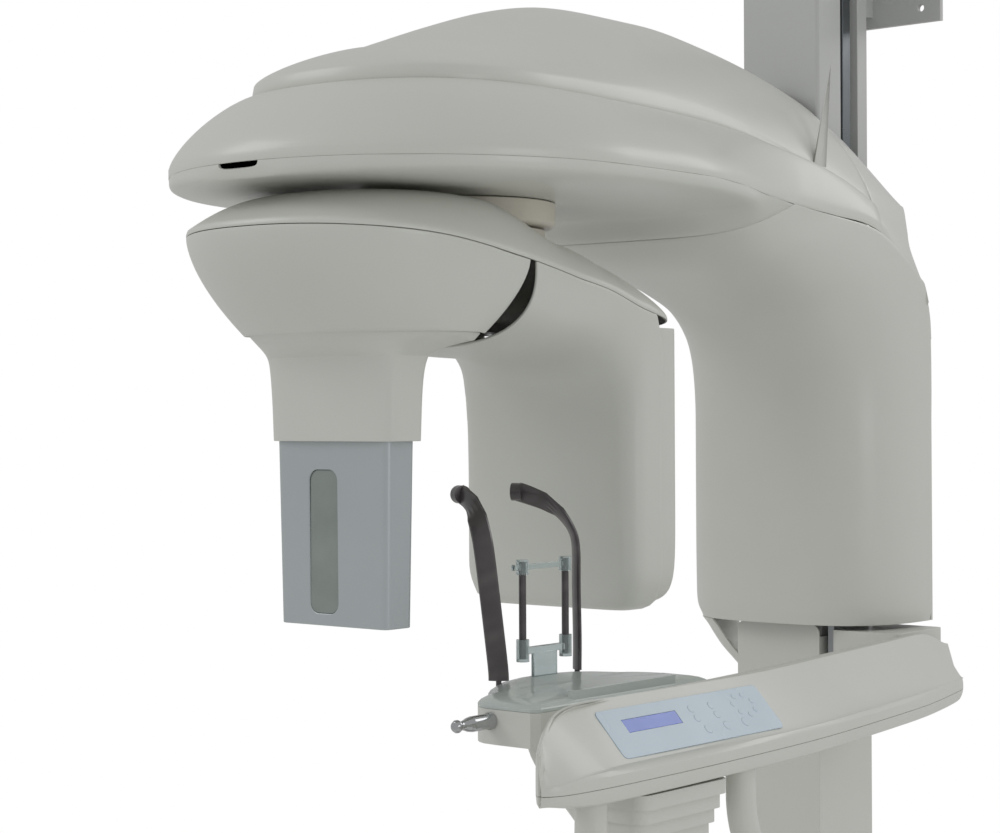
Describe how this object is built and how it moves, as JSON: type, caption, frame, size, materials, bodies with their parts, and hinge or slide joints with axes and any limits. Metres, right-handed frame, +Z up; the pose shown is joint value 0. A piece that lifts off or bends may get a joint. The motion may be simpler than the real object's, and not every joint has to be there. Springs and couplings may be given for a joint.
{
  "type": "panoramic x-ray machine",
  "caption": "Column-mounted panoramic dental x-ray machine with height lift, rotating sensor and tube arm, chin table, temple bars and console.",
  "frame": {"origin": "centre of the column's foot, on the floor", "axes": "+Z up along the column; -Y from the column to the patient; +X towards the operator's console"},
  "size_m": [0.82, 1.27, 2.346],
  "materials": {
    "shell": "satin off-white lacquer on moulded covers",
    "column_paint": "satin light grey paint",
    "base_paint": "satin light grey powder coat",
    "steel": "brushed",
    "dark_plastic": "matte",
    "brass": "machined",
    "panel_film": "printed membrane film",
    "lcd": "blue backlit display",
    "lid_plastic": "pale greenish translucent white",
    "chrome": "polished stainless",
    "carbon": "satin woven composite look",
    "clear_plastic": "clear acrylic",
    "neck_cream": "satin cream",
    "rubber": "toothed belt",
    "aluminium": "machined",
    "silver_paint": "silver grey metallic paint",
    "window": "fine textured window",
    "board": "circuit board",
    "tank_paint": "satin grey",
    "wheel_plastic": "knurled thumbwheel"
  },
  "bodies": {
    "root": {"base_plate": "base_paint", "anchor_bolts": "steel", "column": "column_paint", "guide_rails": "steel", "column_cap": "column_paint", "wall_bracket": "column_paint", "lift_motor": "dark_plastic", "power_inlet": "dark_plastic"},
    "lift_screw": {"lift_screw": "steel"},
    "power_rocker": {"power_rocker": "dark_plastic"},
    "carriage": {"carriage_frame": "steel", "bearing_blocks": "dark_plastic", "lift_nut": "brass", "arm_beam": "steel", "root_shell": "shell", "underside_cover": "shell", "brim_cover": "shell", "hood_cover": "shell", "rear_panels": "shell", "lower_cover": "shell", "console_bracket": "shell", "console_beam": "steel", "console_top_shell": "shell", "console_bottom_shell": "shell", "key_panel": "panel_film", "lcd_display": "lcd", "grab_handles": "shell", "hub_housing": "shell", "table_support": "shell", "table_body": "shell", "table_lid": "lid_plastic", "stage_rails": "steel"},
    "knobs": {"temple_knobs": "chrome"},
    "temple_left": {"temple_bar_left": "carbon"},
    "temple_right": {"temple_bar_right": "carbon"},
    "chin_rest": {"chin_rest": "clear_plastic"},
    "bite": {"bite_rods": "carbon", "bite_bar": "clear_plastic"},
    "stage": {"stage_plate": "steel", "collar": "neck_cream", "rotation_bearing": "steel", "rotation_motor": "dark_plastic", "drive_belt": "rubber"},
    "pulley": {"drive_pulley": "aluminium"},
    "gantry": {"gantry_shaft": "neck_cream", "gantry_frame": "steel", "gantry_top_cover": "shell", "bulb_shell": "shell", "sensor_shroud": "shell", "sensor_case": "silver_paint", "sensor_window": "window", "sensor_board": "board", "arm_lower_cover": "shell", "tube_front_cover": "shell", "tube_rear_cover": "shell", "xray_tube_head": "tank_paint", "collimator": "dark_plastic"},
    "laser_wheel": {"laser_wheel": "wheel_plastic", "laser_module": "dark_plastic"},
    "shutter": {"shutter": "steel"}
  },
  "joints": [
    {"name": "lift", "type": "slide", "parent": "root", "child": "carriage", "axis": [0, 0, 1], "range_m": [-0.35, 0.2]},
    {"name": "screw_spin", "type": "hinge", "parent": "root", "child": "lift_screw", "pos_m": [0, -0.035, 0.5], "axis": [0, 0, 1], "range_deg": [-5100, 2900]},
    {"name": "power_switch", "type": "hinge", "parent": "root", "child": "power_rocker", "pos_m": [0, 0.0805, 0.159], "axis": [1, 0, 0], "range_deg": [-8, 8]},
    {"name": "knob_turn", "type": "hinge", "parent": "carriage", "child": "knobs", "pos_m": [0.177, -0.73, 1.286], "axis": [0, 1, 0], "range_deg": [0, 120]},
    {"name": "temple_open_left", "type": "hinge", "parent": "carriage", "child": "temple_left", "pos_m": [0.114, -0.798, 1.29], "axis": [0, 0, 1], "range_deg": [0, 20]},
    {"name": "temple_open_right", "type": "hinge", "parent": "carriage", "child": "temple_right", "pos_m": [0.114, -0.662, 1.29], "axis": [0, 0, 1], "range_deg": [-20, 0]},
    {"name": "chin_lift", "type": "slide", "parent": "carriage", "child": "chin_rest", "axis": [0, 0, 1], "range_m": [0, 0.04]},
    {"name": "bite_lift", "type": "slide", "parent": "chin_rest", "child": "bite", "axis": [0, 0, 1], "range_m": [0, 0.03]},
    {"name": "stage_slide", "type": "slide", "parent": "carriage", "child": "stage", "axis": [0, 1, 0], "range_m": [-0.03, 0.01]},
    {"name": "gantry_spin", "type": "hinge", "parent": "stage", "child": "gantry", "pos_m": [0, -0.73, 1.7], "axis": [0, 0, 1], "range_deg": [-10, 215]},
    {"name": "pulley_spin", "type": "hinge", "parent": "stage", "child": "pulley", "pos_m": [0, -0.58, 1.89], "axis": [0, 0, 1], "range_deg": [-60, 1080]},
    {"name": "laser_adjust", "type": "hinge", "parent": "gantry", "child": "laser_wheel", "pos_m": [0.022, -0.5655, 1.53], "axis": [1, 0, 0], "range_deg": [-15, 15]},
    {"name": "shutter_slide", "type": "slide", "parent": "gantry", "child": "shutter", "axis": [1, 0, 0], "range_m": [-0.01, 0]}
  ],
  "couplings": [
    {"joint": "screw_spin", "follows": "lift", "rad_per_m": 251.33},
    {"joint": "pulley_spin", "follows": "gantry_spin", "ratio": 5},
    {"joint": "temple_open_left", "follows": "knob_turn", "ratio": 0.16666},
    {"joint": "temple_open_right", "follows": "knob_turn", "ratio": -0.16666}
  ]
}
